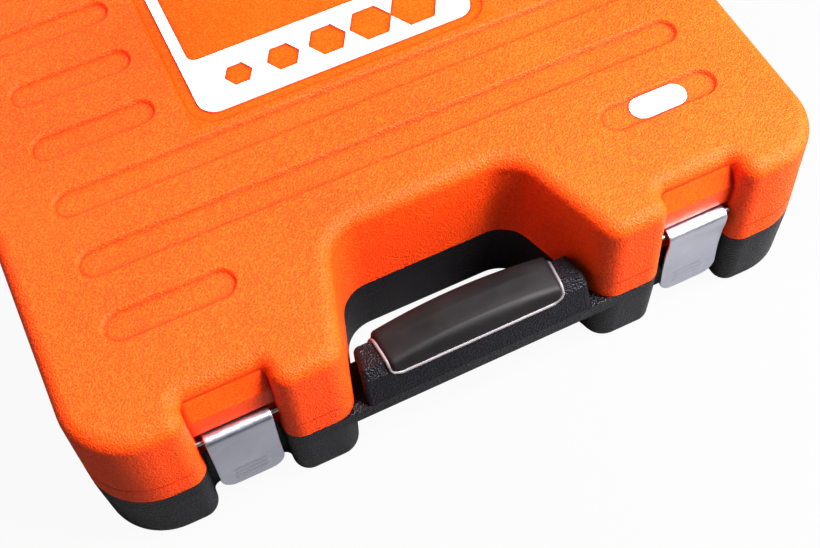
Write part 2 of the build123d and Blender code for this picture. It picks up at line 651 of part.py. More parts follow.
def ratchet_parts(spec):
    """All pieces of one ratchet, head axis vertical, handle along +X, underside at z = 0."""
    square = spec["square"]
    radius = spec["head_radius"]
    height = spec["head_height"]
    wheel = radius * 0.65
    neck = square * 0.715
    floor = height * 0.15
    cover_thickness = height * 0.15
    cover_z = height - cover_thickness
    cover_radius = radius * 0.86
    button_radius = radius * 0.2
    pivot = radius * 0.55
    pivot_radius = radius * 0.15
    grip_start = spec["length"] - radius - spec["grip_length"]
    axis_z = height / 2

    head = extrude(Circle(radius), amount=height)
    head = fillet(head.edges().group_by(Axis.Z)[0], 1.2)
    shoulder = Polygon(
        (0, -radius * 0.92),
        (radius * 2.1, -spec["neck_radius"]),
        (radius * 2.1, spec["neck_radius"]),
        (0, radius * 0.92),
        align=None,
    )
    shoulder = extrude(shoulder, amount=height * 0.7)
    shank = turned([(spec["neck_radius"], radius * 1.2), (spec["neck_radius"] * 0.85, grip_start * 0.75),
                    (spec["neck_radius"], grip_start), (spec["neck_radius"], spec["length"] - radius - 6)])
    body = head + Pos(0, 0, height * 0.15) * shoulder
    body += Pos(0, 0, axis_z) * Rot(0, 90, 0) * shank
    body -= Pos(0, 0, floor) * extrude(Circle(wheel + RUNNING_FIT), amount=height)
    body -= extrude(Circle(neck + RUNNING_FIT), amount=height)
    body -= Pos(0, 0, cover_z) * extrude(Circle(cover_radius + TIGHT_FIT), amount=height)

    grip = turned([
        (spec["grip_radius"] * 0.72, 0), (spec["grip_radius"] * 0.86, 3),
        (spec["grip_radius"] * 0.78, spec["grip_length"] * 0.14),
        (spec["grip_radius"] * 0.97, spec["grip_length"] * 0.45),
        (spec["grip_radius"] * 0.9, spec["grip_length"] * 0.75),
        (spec["grip_radius"], spec["grip_length"] - 7), (spec["grip_radius"] * 0.75, spec["grip_length"]),
    ])
    least_rib = 4.5 * spec["grip_radius"]
    ribs = [e for e in grip.edges() if e.geom_type == GeomType.CIRCLE and e.length > least_rib]
    grip = fillet(ribs, 1.5)
    grip -= extrude(Circle(spec["neck_radius"]), amount=spec["grip_length"] - 6)
    grip = Pos(grip_start, 0, axis_z) * Rot(0, 90, 0) * grip

    drive = Pos(0, 0, floor + TIGHT_FIT) * extrude(Circle(wheel), amount=cover_z - floor - 0.2)
    drive += Pos(0, 0, -0.6) * extrude(Circle(neck), amount=floor + 1)
    drive += Pos(0, 0, -0.6) * Rot(180, 0, 0) * square_bar(square, spec["square_length"])
    button_floor = height * 0.5
    drive -= Pos(0, 0, button_floor) * extrude(Circle(button_radius + RUNNING_FIT), amount=height)

    button = Pos(0, 0, button_floor + 2.0) * extrude(Circle(button_radius), amount=height * 0.6 - 1.0)
    button = fillet(button.edges().group_by(Axis.Z)[-1], 0.5)

    cover = Pos(0, 0, cover_z) * extrude(Circle(cover_radius), amount=cover_thickness)
    cover -= extrude(Circle(button_radius + 2 * RUNNING_FIT), amount=height * 2)
    cover -= Pos(pivot, 0, 0) * extrude(Circle(pivot_radius + RUNNING_FIT), amount=height * 2)
    screws = []
    for side in (-1, 1):
        place = Pos(-radius * 0.2, side * radius * 0.72, 0)
        head_radius = radius * 0.095
        cover -= place * Pos(0, 0, height - 1.0) * extrude(Circle(head_radius + TIGHT_FIT), amount=5)
        screw = Pos(0, 0, height - 1.0) * extrude(Circle(head_radius), amount=1.0)
        screw -= Pos(0, 0, height - 0.5) * extrude(RegularPolygon(head_radius * 0.55, 6), amount=2)
        screws.append(place * screw)

    lever = Pos(pivot, 0, cover_z + 0.3) * extrude(Circle(pivot_radius), amount=cover_thickness + 0.3)
    lever_z = height + 0.4
    lever_thickness = height * 0.17
    disc = extrude(Circle(pivot_radius * 2.1), amount=lever_thickness)
    tab_plan = Pos(radius * 0.4, 0) * SlotOverall(radius * 0.8, pivot_radius * 2.2)
    tab = extrude(tab_plan, amount=lever_thickness)
    lever_top = Rot(0, 0, -22) * (disc + tab)
    lever += Pos(pivot, 0, lever_z) * lever_top
    pieces = {
        "body": body, "grip": grip, "drive": drive, "button": button, "cover": cover,
        "cover_screws": Compound(children=[s.solids()[0] for s in screws]), "lever": lever,
    }
    place = Pos(spec["x"], spec["y"], spec["underside"])
    return {name: place * shape for name, shape in pieces.items()}


def tee_bar():
    """Sliding T handle's bar along X with rounded ends."""
    bar = turned([
        (TEE_RADIUS - 1, 0), (TEE_RADIUS, 1), (TEE_RADIUS, TEE_LENGTH - 1), (TEE_RADIUS - 1, TEE_LENGTH),
    ])
    return Pos(TEE_LEFT, MIDDLE_ROW_Y, TEE_AXIS_Z) * Rot(0, 90, 0) * bar


def tee_slider():
    """The T handle's head: a collar on the bar with a drive square pointing down."""
    collar = extrude(Circle(TEE_SLIDER_RADIUS), amount=TEE_SLIDER_WIDTH)
    collar = Pos(0, 0, -TEE_SLIDER_WIDTH / 2) * collar
    collar = chamfer(collar.edges().filter_by(GeomType.CIRCLE), 1.0)
    collar -= Cylinder(TEE_RADIUS + RUNNING_FIT, TEE_SLIDER_WIDTH * 2)
    head = Rot(0, 90, 0) * collar
    drop = TEE_RADIUS + 2.0
    square = Pos(0, 0, -drop) * Rot(180, 0, 0) * square_bar(HALF_DRIVE, TEE_SQUARE_LENGTH)
    head += square
    return Pos(TEE_LEFT + TEE_LENGTH / 2, MIDDLE_ROW_Y, TEE_AXIS_Z) * head


def spinner():
    """Screwdriver-style handle for the small drive: grip first, square last, along +X."""
    r = SPINNER_GRIP_RADIUS
    length = SPINNER_GRIP_LENGTH
    grip = turned([(r * 0.7, 0), (r * 0.95, 4), (r, length * 0.2), (r * 0.98, length * 0.5),
                   (r * 0.66, length * 0.72), (r * 0.8, length * 0.86), (r * 0.62, length)])
    for turn in range(6):
        flute = Pos(r * 1.12, 0, length * 0.1) * extrude(Circle(r * 0.28), amount=length * 0.48)
        grip -= Rot(0, 0, 60 * turn) * flute
    grip -= Pos(0, 0, length - 25) * extrude(Circle(SPINNER_SHAFT_RADIUS), amount=30)
    collar = SPINNER_SHAFT_RADIUS + 1.6
    square_start = length + SPINNER_SHAFT_LENGTH - 8
    shaft = turned([
        (SPINNER_SHAFT_RADIUS, length - 25), (SPINNER_SHAFT_RADIUS, square_start - 4),
        (collar, square_start - 2), (collar, square_start),
    ])
    shaft += Pos(0, 0, square_start) * square_bar(QUARTER_DRIVE, 8.0)
    place = Pos(SPINNER_LEFT, QUARTER_ROW_Y, SPINNER_AXIS_Z) * Rot(0, 90, 0)
    return place * grip, place * shaft


def plug_socket():
    """Spark plug socket lying along +X, and the rubber ring that holds the plug."""
    r = PLUG_SOCKET_RADIUS
    length = PLUG_SOCKET_LENGTH
    bore = 9.0
    body = turned([(10.0, 0), (11.0, 1), (11.0, 14), (r, 18), (r, length - 1), (r - 1, length)])
    body -= square_hole(HALF_DRIVE, 20)
    body -= Pos(0, 0, 19) * extrude(Circle(bore), amount=length)
    body -= Pos(0, 0, length - 18) * extrude(hexagon(PLUG_SOCKET_SIZE), amount=20)
    ring = extrude(Circle(bore) - Circle(6.0), amount=16)
    ring = Pos(0, 0, 26) * ring
    place = Pos(PLUG_SOCKET_X, HALF_RATCHET_Y + 4, PLUG_SOCKET_Z) * Rot(0, 90, 0)
    return place * body, place * ring


def hexagon(across_flats):
    return RegularPolygon(across_flats / 2, 6, major_radius=False)


def bit_places():
    first = -(BIT_COUNT - 1) * BIT_PITCH / 2
    return [first + BIT_PITCH * n for n in range(BIT_COUNT)]


def bit_rail():
    """Block with a row of hexagon holes for screw bits."""
    length = BIT_COUNT * BIT_PITCH + 4
    rail = extrude(RectangleRounded(length, BIT_RAIL_DEPTH, 3), amount=BIT_RAIL_HEIGHT)
    rail = chamfer(rail.edges().group_by(Axis.Z)[-1], 0.8)
    for x in bit_places():
        rail -= Pos(x, 0, 3) * extrude(hexagon(BIT_ACROSS_FLATS + 0.2), amount=BIT_RAIL_HEIGHT)
    return Pos(BIT_RAIL_X, BIT_RAIL_Y, BIT_RAIL_FLOOR) * rail


def screw_bit(kind):
    """A hexagon bit standing on its shank, with a blade, cross or star tip."""
    shank = extrude(hexagon(BIT_ACROSS_FLATS), amount=BIT_LENGTH - 9)
    waist = Pos(0, 0, BIT_LENGTH - 9) * Cone(3.0, 2.2, 4, align=(Align.CENTER, Align.CENTER, Align.MIN))
    if kind == 0:
        tip = Box(4.4, 1.2, 5.0, align=(Align.CENTER, Align.CENTER, Align.MIN))
    elif kind == 1:
        tip = Cone(2.2, 0.6, 5.0, align=(Align.CENTER, Align.CENTER, Align.MIN))
        tip -= [Rot(0, 0, 45 + 90 * n) * Pos(1.9, 0, 3.6) * Box(2.0, 1.2, 5.0) for n in range(4)]
    else:
        tip = extrude(hexagon(3.6), amount=5.0)
    return shank + waist + Pos(0, 0, BIT_LENGTH - 5) * tip


def screw_bits():
    """All the bits, standing in the rail."""
    bits = []
    for number, x in enumerate(bit_places()):
        place = Pos(BIT_RAIL_X + x, BIT_RAIL_Y, BIT_RAIL_FLOOR + 3)
        bits.append((place * screw_bit(number % 3)).solids()[0])
    return Compound(children=bits)


def bit_adapter():
    """Short adapter lying along +X: small square hole, then a hexagon bit hole."""
    body = turned([(ADAPTER_RADIUS - 0.6, 0), (ADAPTER_RADIUS, 0.6), (ADAPTER_RADIUS, ADAPTER_LENGTH - 0.6),
                   (ADAPTER_RADIUS - 0.6, ADAPTER_LENGTH)])
    body -= square_hole(QUARTER_DRIVE, 10)
    body -= Pos(0, 0, ADAPTER_LENGTH - 12) * extrude(hexagon(BIT_ACROSS_FLATS + 0.2), amount=13)
    return Pos(ADAPTER_X, BIT_RAIL_Y, ADAPTER_Z) * Rot(0, 90, 0) * body


# Tray ----------------------------------------------------------------------------------------


def lying_pocket(x_left, x_right, y, half_width, floor_z):
    length = x_right - x_left + 2 * POCKET_GAP
    plan = RectangleRounded(length, 2 * (half_width + POCKET_GAP), POCKET_CORNER)
    return Pos((x_left + x_right) / 2, y) * plan, floor_z


def ratchet_pockets(spec):
    """Head pocket, a deep well for the square, and a channel for the handle."""
    x, y = spec["x"], spec["y"]
    under = spec["underside"]
    reach = spec["length"] - spec["head_radius"]
    grip_start = reach - spec["grip_length"]
    axis_z = under + spec["head_height"] / 2
    well = spec["square"] * 0.715 + 2.0
    head = Pos(x, y) * Circle(spec["head_radius"] + POCKET_GAP)
    shoulder = lying_pocket(x, x + grip_start, y, spec["head_radius"] * 0.95, under - SEAT_GAP)
    square = Pos(x, y) * Circle(well)
    grip = lying_pocket(x + grip_start - 3, x + reach, y, spec["grip_radius"] + 1.0,
                        axis_z - spec["grip_radius"] - SEAT_GAP)
    return [
        (head, under - SEAT_GAP),
        shoulder,
        (square, under - spec["square_length"] - 0.6 - SEAT_GAP),
        grip,
    ]


def tray_pockets():
    """Every pocket of the tray as a plan and the height of its floor."""
    pockets = []
    for sizes, drive, spec, y in (
        (HALF_SOCKETS, HALF_DRIVE, HALF_SOCKET_SIZE, HALF_SOCKET_Y),
        (QUARTER_SOCKETS, QUARTER_DRIVE, QUARTER_SOCKET_SIZE, FRONT_ROW_Y),
    ):
        for _, x, row_y, width in socket_row(sizes, drive, spec, y):
            pockets.append((Pos(x, row_y) * Circle(width / 2 + POCKET_GAP), TRAY_TOP - spec["sink"]))
    for _, left, y, drive, length in EXTENSIONS:
        radius = drive * 0.86
        pockets.append(lying_pocket(left, left + length, y, radius, EXTENSION_AXIS_Z - radius - SEAT_GAP))
    pockets += ratchet_pockets(HALF_RATCHET)
    pockets += ratchet_pockets(QUARTER_RATCHET)
    tee_right = TEE_LEFT + TEE_LENGTH
    tee_floor = TEE_AXIS_Z - TEE_RADIUS - 2.0 - TEE_SQUARE_LENGTH - SEAT_GAP
    travel = TEE_TRAVEL + TEE_SLIDER_WIDTH / 2 + 1
    middle = TEE_LEFT + TEE_LENGTH / 2
    tee_half = TEE_SLIDER_RADIUS + 1
    pockets.append(lying_pocket(TEE_LEFT, tee_right, MIDDLE_ROW_Y, tee_half,
                                TEE_AXIS_Z - TEE_RADIUS - SEAT_GAP))
    pockets.append(lying_pocket(middle - travel, middle + travel, MIDDLE_ROW_Y, tee_half, tee_floor))
    spinner_right = SPINNER_LEFT + SPINNER_GRIP_LENGTH + SPINNER_SHAFT_LENGTH
    pockets.append(lying_pocket(SPINNER_LEFT, spinner_right, QUARTER_ROW_Y, SPINNER_GRIP_RADIUS,
                                SPINNER_AXIS_Z - SPINNER_GRIP_RADIUS - SEAT_GAP))
    pockets.append(lying_pocket(PLUG_SOCKET_X, PLUG_SOCKET_X + PLUG_SOCKET_LENGTH, HALF_RATCHET_Y + 4,
                                PLUG_SOCKET_RADIUS, PLUG_SOCKET_Z - PLUG_SOCKET_RADIUS - SEAT_GAP))
    rail_half = (BIT_COUNT * BIT_PITCH + 4) / 2
    pockets.append(lying_pocket(BIT_RAIL_X - rail_half, BIT_RAIL_X + rail_half, BIT_RAIL_Y,
                                BIT_RAIL_DEPTH / 2, BIT_RAIL_FLOOR))
    pockets.append(lying_pocket(ADAPTER_X, ADAPTER_X + ADAPTER_LENGTH, BIT_RAIL_Y, ADAPTER_RADIUS,
                                ADAPTER_Z - ADAPTER_RADIUS - SEAT_GAP))
    return pockets


def tool_tray():
    """Moulded tray: a deck on a skirt, with a walled pocket sunk in it for each tool."""
    inset = WALL + SEAT_GAP
    height = TRAY_TOP - WALL
    inset += (BASE_HEIGHT - TRAY_TOP) * tan(radians(BASE_DRAFT))
    outer = extrude(cavity_plan(inset), amount=height, taper=BASE_DRAFT)
    outer = Pos(0, 0, TRAY_TOP) * mirror(outer, about=Plane.XY)
    hollow = extrude(cavity_plan(inset + TRAY_WALL), amount=height + 1, taper=BASE_DRAFT)
    tray = outer - Pos(0, 0, TRAY_TOP - TRAY_WALL) * mirror(hollow, about=Plane.XY)
    floors = {}
    for plan, floor_z in tray_pockets():
        key = round(floor_z, 2)
        floors[key] = floors[key] + plan if key in floors else Sketch() + plan
    for floor_z, plan in floors.items():
        cup = offset(plan, amount=TRAY_WALL, kind=Kind.INTERSECTION)
        cup = extrude(cup, amount=TRAY_TOP - floor_z + TRAY_WALL)
        tray += Pos(0, 0, floor_z - TRAY_WALL) * cup & outer
    for floor_z, plan in floors.items():
        tray -= Pos(0, 0, floor_z) * extrude(plan, amount=TRAY_TOP)
    return tray


def tray_sections():
    """The tray divided between its rows of pockets, front to back."""
    tray = tool_tray()
    limits = (FRONT, *TRAY_SPLITS, BACK)
    sections = {}
    for name, low, high in zip(TRAY_SECTIONS, limits, limits[1:]):
        slab = Box(CASE_WIDTH, high - low, CASE_TOP, align=(Align.CENTER, Align.MIN, Align.MIN))
        sections[name] = tray & Pos(0, low, 0) * slab
    return sections


# All the pieces ------------------------------------------------------------------------------


def build_pieces():
    pieces = {
        "base_shell": base_shell(),
        "lid_shell": lid_shell(),
        "lid_liner": lid_liner(),
        "lid_foam": lid_foam(),
        "hinge_pins": Compound(children=hinge_pins()),
        "latch_left": latch(-1),
        "latch_right": latch(1),
        "latch_pins": Compound(children=[latch_pin(side, LATCH_PIN_RADIUS) for side in (-1, 1)]),
        "handle_grip": handle_grip(),
        "grip_trim": grip_trim(),
        "label_plate": label_plate(),
        "size_sticker": size_sticker(),
        **tray_sections(),
        "tee_bar": tee_bar(),
        "tee_slider": tee_slider(),
        "bit_rail": bit_rail(),
        "screw_bits": screw_bits(),
        "bit_adapter": bit_adapter(),
    }
    pieces["spinner_grip"], pieces["spinner_shaft"] = spinner()
    pieces["spark_plug_socket"], pieces["spark_plug_ring"] = plug_socket()
    cover_screws = []
    for name, spec in (("ratchet_half", HALF_RATCHET), ("ratchet_quarter", QUARTER_RATCHET)):
        ratchet = ratchet_parts(spec)
        cover_screws += ratchet.pop("cover_screws").solids()
        for part, shape in ratchet.items():
            pieces[f"{name}_{part}"] = shape
    pieces["ratchet_cover_screws"] = Compound(children=cover_screws)
    for name, left, y, drive, length in EXTENSIONS:
        pieces[name] = Pos(left, y, EXTENSION_AXIS_Z) * extension_bar(drive, length)
    for drive_name, sizes, drive, spec, y in (
        ("half", HALF_SOCKETS, HALF_DRIVE, HALF_SOCKET_SIZE, HALF_SOCKET_Y),
        ("quarter", QUARTER_SOCKETS, QUARTER_DRIVE, QUARTER_SOCKET_SIZE, FRONT_ROW_Y),
    ):
        for size, x, row_y, _ in socket_row(sizes, drive, spec, y):
            shape = wrench_socket(size, drive, spec)
            pieces[f"socket_{drive_name}_{size}"] = Pos(x, row_y, TRAY_TOP - spec["sink"]) * shape
    return pieces


os.makedirs("parts", exist_ok=True)
for piece_name, piece in build_pieces().items():
    export_step(piece, f"parts/{piece_name}.step")
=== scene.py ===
# %% [markdown]
# # A socket wrench set in its carrying case
#
# The case, its tools and their moving parts come from CAD as a fixed frame, in metres.
# This lesson gives each of them a finish, and models afresh the few pieces whose form is
# softer than CAD made it: the two latches, the handle's grip and its trim, and the foam
# in the lid. Nothing that came from CAD is moved or reshaped.

# %% Load the fixed frame
import math

import bmesh
import bpy
from mathutils import Matrix, Vector


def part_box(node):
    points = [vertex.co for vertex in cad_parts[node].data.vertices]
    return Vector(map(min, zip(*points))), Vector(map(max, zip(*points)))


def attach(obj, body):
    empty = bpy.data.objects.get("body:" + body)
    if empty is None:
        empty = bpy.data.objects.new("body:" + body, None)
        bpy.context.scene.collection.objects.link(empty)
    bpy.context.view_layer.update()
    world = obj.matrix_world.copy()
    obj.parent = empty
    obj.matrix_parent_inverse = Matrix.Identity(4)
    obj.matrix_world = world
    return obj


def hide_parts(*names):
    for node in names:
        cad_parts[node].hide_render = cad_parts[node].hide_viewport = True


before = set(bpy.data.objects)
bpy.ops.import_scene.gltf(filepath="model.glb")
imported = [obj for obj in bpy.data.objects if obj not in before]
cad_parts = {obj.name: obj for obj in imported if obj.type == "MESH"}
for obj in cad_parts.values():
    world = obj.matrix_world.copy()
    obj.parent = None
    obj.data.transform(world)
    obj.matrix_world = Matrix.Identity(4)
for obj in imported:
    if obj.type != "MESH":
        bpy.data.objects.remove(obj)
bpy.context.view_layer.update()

MM = 0.001

# %% [markdown]
# ## The camera
#
# The case is seen from over its front left corner, looking down steeply, with the camera
# tipped a little to one side. A camera is easiest to aim as a turn about the upright, a
# tilt, and a roll about its own line of sight, multiplied in that order. A long lens
# keeps the near corner from looming.

# %% Place the camera
CAMERA_PLACE = Vector((-0.13869, -0.43694, 0.62028))
CAMERA_HEADING = 21.98
CAMERA_DIP = 58.29
CAMERA_ROLL = -4.42
camera_data = bpy.data.cameras.new("camera")
camera_data.lens = 56.47
camera_data.sensor_width = 36.0
camera_data.shift_x = -0.0161
camera_data.shift_y = 0.0007
camera_data.clip_start, camera_data.clip_end = 0.01, 20.0
camera = bpy.data.objects.new("camera", camera_data)
camera.matrix_world = (
    Matrix.Translation(CAMERA_PLACE)
    @ Matrix.Rotation(math.radians(-CAMERA_HEADING), 4, "Z")
    @ Matrix.Rotation(math.radians(90 - CAMERA_DIP), 4, "X")
    @ Matrix.Rotation(math.radians(CAMERA_ROLL), 4, "Z")
)
bpy.context.scene.collection.objects.link(camera)
bpy.context.scene.camera = camera
sight = camera.matrix_world.to_3x3() @ Vector((0, 0, -1))
print("camera looks along", [round(part, 3) for part in sight])

# %% [markdown]
# ## The studio
#
# Catalogue pictures of tools are lit by large soft boxes over a white table. Big area
# lights make the slow gradients that plastic and satin metal need, and a sky that is
# bright overhead and darker in front puts a dark line along each rounded metal edge.
# The view transform is Standard, because the default one greys a bright orange.

# %% Set the sky and the view transform
def add_node(tree, kind, **settings):
    """A shader node with its properties and unlinked sockets set by name."""
    node = tree.nodes.new(kind)
    for name, value in settings.items():
        if name in node.inputs:
            node.inputs[name].default_value = value
        else:
            setattr(node, name, value)
    return node


def ramp(tree, source, *stops):
    """A colour ramp fed by a socket; each stop is (position, colour)."""
    node = add_node(tree, "ShaderNodeValToRGB")
    line = node.color_ramp
    while len(line.elements) < len(stops):
        line.elements.new(0.5)
    for element, (position, colour) in zip(line.elements, stops):
        element.position = position
        element.color = (*colour, 1.0)
    tree.links.new(source, node.inputs["Fac"])
    return node.outputs["Color"]


scene = bpy.context.scene
scene.view_settings.view_transform = "Standard"
scene.view_settings.look = "None"
scene.view_settings.gamma = 0.85
world = bpy.data.worlds.new("studio")
world.use_nodes = True
scene.world = world
sky = world.node_tree
sky.nodes.clear()
direction = add_node(sky, "ShaderNodeTexCoord")
split = add_node(sky, "ShaderNodeSeparateXYZ")
sky.links.new(direction.outputs["Generated"], split.inputs[0])
height = ramp(sky, split.outputs["Z"], (0.0, (0.05, 0.05, 0.055)), (0.35, (0.08, 0.08, 0.09)),
              (0.75, (0.32, 0.33, 0.35)))
light = add_node(sky, "ShaderNodeBackground", Strength=0.75)
plain = add_node(sky, "ShaderNodeBackground", Color=(0.93, 0.93, 0.93, 1), Strength=1.0)
ray = add_node(sky, "ShaderNodeLightPath")
either = add_node(sky, "ShaderNodeMixShader")
out = add_node(sky, "ShaderNodeOutputWorld")
sky.links.new(height, light.inputs["Color"])
sky.links.new(ray.outputs["Is Camera Ray"], either.inputs[0])
sky.links.new(light.outputs[0], either.inputs[1])
sky.links.new(plain.outputs[0], either.inputs[2])
sky.links.new(either.outputs[0], out.inputs["Surface"])
print("sky nodes", len(sky.nodes))

# %% Hang the soft boxes
SOFT_BOXES = (
    # name, place, aimed at, width, height, watts
    ("box_key", (0.66, -0.46, 1.22), (0.0, 0.0, 0.05), 0.6, 0.6, 72.0),
    ("box_right", (0.85, -0.50, 0.42), (0.15, -0.15, 0.05), 0.5, 0.4, 12.0),
    ("box_left", (-1.2, -0.3, 1.0), (0.0, 0.0, 0.05), 0.8, 0.8, 4.0),
    ("box_back", (-0.6, 1.5, 0.8), (0.0, 0.1, 0.1), 0.9, 0.7, 16.0),
)
for name, place, aim, width, height_m, watts in SOFT_BOXES:
    box = bpy.data.lights.new(name, "AREA")
    box.shape = "RECTANGLE"
    box.size, box.size_y, box.energy = width, height_m, watts
    lamp = bpy.data.objects.new(name, box)
    lamp.location = place
    lamp.rotation_mode = "QUATERNION"
    lamp.rotation_quaternion = (Vector(aim) - Vector(place)).to_track_quat("-Z", "Y")
    scene.collection.objects.link(lamp)
print("soft boxes", len(SOFT_BOXES))

# %% [markdown]
# ## The finishes
#
# Every finish is a small tree of shader nodes on Object coordinates, which for these
# pieces are metres in the case's own frame, so a noise of scale 900 has grains of about
# a millimetre. One helper makes the empty material, and a second presses a fine grain
# into it, because most of this case is moulded plastic with the same spark-eroded skin.

# %% Helpers for finishes
def new_finish(name, **sockets):
    """A material with one Principled shader; the named sockets are set on it."""
    finish = bpy.data.materials.new(name)
    finish.use_nodes = True
    tree = finish.node_tree
    tree.nodes.clear()
    shader = add_node(tree, "ShaderNodeBsdfPrincipled", **sockets)
    end = add_node(tree, "ShaderNodeOutputMaterial")
    tree.links.new(shader.outputs[0], end.inputs["Surface"])
    place = add_node(tree, "ShaderNodeTexCoord")
    return finish, tree, shader, place.outputs["Object"]


def math_node(tree, operation, first, second=0.0):
    """One Math node; either operand may be a socket or a number."""
    node = add_node(tree, "ShaderNodeMath", operation=operation)
    for slot_number, operand in enumerate((first, second)):
        if isinstance(operand, (int, float)):
            node.inputs[slot_number].default_value = operand
        else:
            tree.links.new(operand, node.inputs[slot_number])
    return node.outputs[0]


def noise(tree, place, scale, detail=2.0, roughness=0.5):
    """Noise of a scale in cycles a metre, as a socket from 0 to 1."""
    node = add_node(tree, "ShaderNodeTexNoise", Scale=scale, Detail=detail, Roughness=roughness)
    tree.links.new(place, node.inputs["Vector"])
    return node.outputs["Fac"]


def cells(tree, place, scale):
    """Soft round cells, as the distance from each cell's middle."""
    node = add_node(tree, "ShaderNodeTexVoronoi", feature="SMOOTH_F1", Scale=scale, Smoothness=0.6)
    tree.links.new(place, node.inputs["Vector"])
    return node.outputs["Distance"]


def spread(tree, source, low, high, to_low=0.0, to_high=1.0):
    """A socket's values from low to high, mapped to to_low and to_high."""
    node = add_node(tree, "ShaderNodeMapRange", **{"From Min": low, "From Max": high,
                                                   "To Min": to_low, "To Max": to_high})
    tree.links.new(source, node.inputs["Value"])
    return node.outputs["Result"]


def press_grain(tree, shader, height, depth, strength=1.0):
    """Bump on the shader from a height socket; depth in metres."""
    node = add_node(tree, "ShaderNodeBump", Distance=depth, Strength=1.0)
    if isinstance(strength, float):
        node.inputs["Strength"].default_value = strength
    else:
        tree.links.new(strength, node.inputs["Strength"])
    tree.links.new(height, node.inputs["Height"])
    tree.links.new(node.outputs["Normal"], shader.inputs["Normal"])


print("finish helpers ready")

# %% [markdown]
# ## Moulded shells
#
# The lid is orange and the base black, both of tough moulded plastic with a fine pebble
# grain. The grain is soft cells about a millimetre across broken up by noise. The colour
# is a shade darker in the hollows of the grain, and drifts slowly over the whole shell
# as real mouldings do. Narrow grooves and inside corners get painted shade: an Ambient
# Occlusion node darkens the colour there. The lid's latch niches and
# the label's recess were polished in the mould, so there the grain is faded out by a mask
# of plain boxes.

# %% Grained plastic
GRAIN_SCALE = 1000.0
GRAIN_DEPTH = 0.00042
# How far the painted shade in grooves and inside corners reaches, in metres.
PAINTED_SHADE_REACH = 0.0035
POLISH_FADE = 0.0012
POLISHED_ROUGHNESS = 0.30


def pebble(tree, place):
    """The height of the moulded pebble grain, from 0 to 1."""
    soft_cells = cells(tree, place, GRAIN_SCALE)
    breakup = noise(tree, place, GRAIN_SCALE * 1.3, 2.0)
    joined = math_node(tree, "ADD", math_node(tree, "MULTIPLY", soft_cells, 0.9), breakup)
    return spread(tree, joined, 0.45, 1.35)


def box_mask(tree, place, centre, half, soft):
    """1 inside an upright box in X and Y, falling to 0 over a soft edge."""
    parts = add_node(tree, "ShaderNodeSeparateXYZ")
    tree.links.new(place, parts.inputs[0])
    beyond = None
    for axis in (0, 1):
        from_centre = math_node(tree, "SUBTRACT", parts.outputs[axis], centre[axis])
        offset = math_node(tree, "ABSOLUTE", from_centre)
        outside = math_node(tree, "SUBTRACT", offset, half[axis])
        beyond = outside if beyond is None else math_node(tree, "MAXIMUM", beyond, outside)
    return spread(tree, beyond, soft, 0.0)


def grained_plastic(name, hollow, face, roughness, strength, polished=(), **sockets):
    """Moulded plastic with the pebble grain and painted shade in its grooves and corners, polished
    inside the given boxes.
    """
    finish, tree, shader, place = new_finish(name, **sockets)
    grain = pebble(tree, place)
    drift = noise(tree, place, 9.0, 3.0)
    tone = math_node(tree, "ADD", math_node(tree, "MULTIPLY", grain, 0.6),
                     math_node(tree, "MULTIPLY", drift, 0.4))
    colour = ramp(tree, tone, (0.3, hollow), (0.68, face))
    # Painted shade: an Ambient Occlusion node blends the colour towards a darker red in grooves
    # and inside corners.
    painted_shade_ao = add_node(tree, "ShaderNodeAmbientOcclusion", samples=6, Distance=PAINTED_SHADE_REACH)
    painted_shade_mix = add_node(tree, "ShaderNodeMix", data_type="RGBA")
    tree.links.new(spread(tree, painted_shade_ao.outputs["AO"], 0.62, 0.97), painted_shade_mix.inputs["Factor"])
    painted_shade_mix.inputs["A"].default_value = (hollow[0] * 0.75, hollow[1] * 0.2, hollow[2] * 0.3, 1.0)
    tree.links.new(colour, painted_shade_mix.inputs["B"])
    tree.links.new(painted_shade_mix.outputs["Result"], shader.inputs["Base Color"])
    keep = None
    for centre, half in polished:
        mask = math_node(tree, "SUBTRACT", 1.0, box_mask(tree, place, centre, half, POLISH_FADE))
        keep = mask if keep is None else math_node(tree, "MULTIPLY", keep, mask)
    if keep is None:
        tree.links.new(spread(tree, grain, 0.0, 1.0, roughness + 0.08, roughness - 0.04),
                       shader.inputs["Roughness"])
        press_grain(tree, shader, grain, GRAIN_DEPTH, strength)
    else:
        sheen = spread(tree, keep, 0.0, 1.0, POLISHED_ROUGHNESS, roughness)
        tree.links.new(sheen, shader.inputs["Roughness"])
        kept_strength = math_node(tree, "MULTIPLY", keep, strength)
        press_grain(tree, shader, grain, GRAIN_DEPTH, kept_strength)
    return finish


LATCH_X = 0.1262
NICHE_MIDDLE_Y, NICHE_HALF = -0.159, (0.0205, 0.0095)
NICHES = [((side * LATCH_X, NICHE_MIDDLE_Y), NICHE_HALF) for side in (-1, 1)]
LABEL_LOW, LABEL_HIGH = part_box("label_plate")
LABEL_RECESS_MARGIN = 0.0072
label_centre = ((LABEL_LOW.x + LABEL_HIGH.x) / 2, (LABEL_LOW.y + LABEL_HIGH.y) / 2)
label_half = ((LABEL_HIGH.x - LABEL_LOW.x) / 2 + LABEL_RECESS_MARGIN,
              (LABEL_HIGH.y - LABEL_LOW.y) / 2 + LABEL_RECESS_MARGIN)
finishes = {}
finishes["orange_shell"] = grained_plastic(
    "orange_shell", (0.64, 0.042, 0.003), (0.88, 0.088, 0.007), 0.50, 0.9,
    polished=[*NICHES, (label_centre, label_half)], **{"Specular IOR Level": 0.16})
finishes["black_shell"] = grained_plastic(
    "black_shell", (0.002, 0.0018, 0.0026), (0.011, 0.010, 0.0135), 0.34, 1.0,
    **{"Specular IOR Level": 0.26})
finishes["tray_plastic"] = grained_plastic(
    "tray_plastic", (0.008, 0.008, 0.009), (0.018, 0.018, 0.020), 0.48, 0.35,
    **{"Specular IOR Level": 0.3})
print("grained finishes", sorted(finishes))

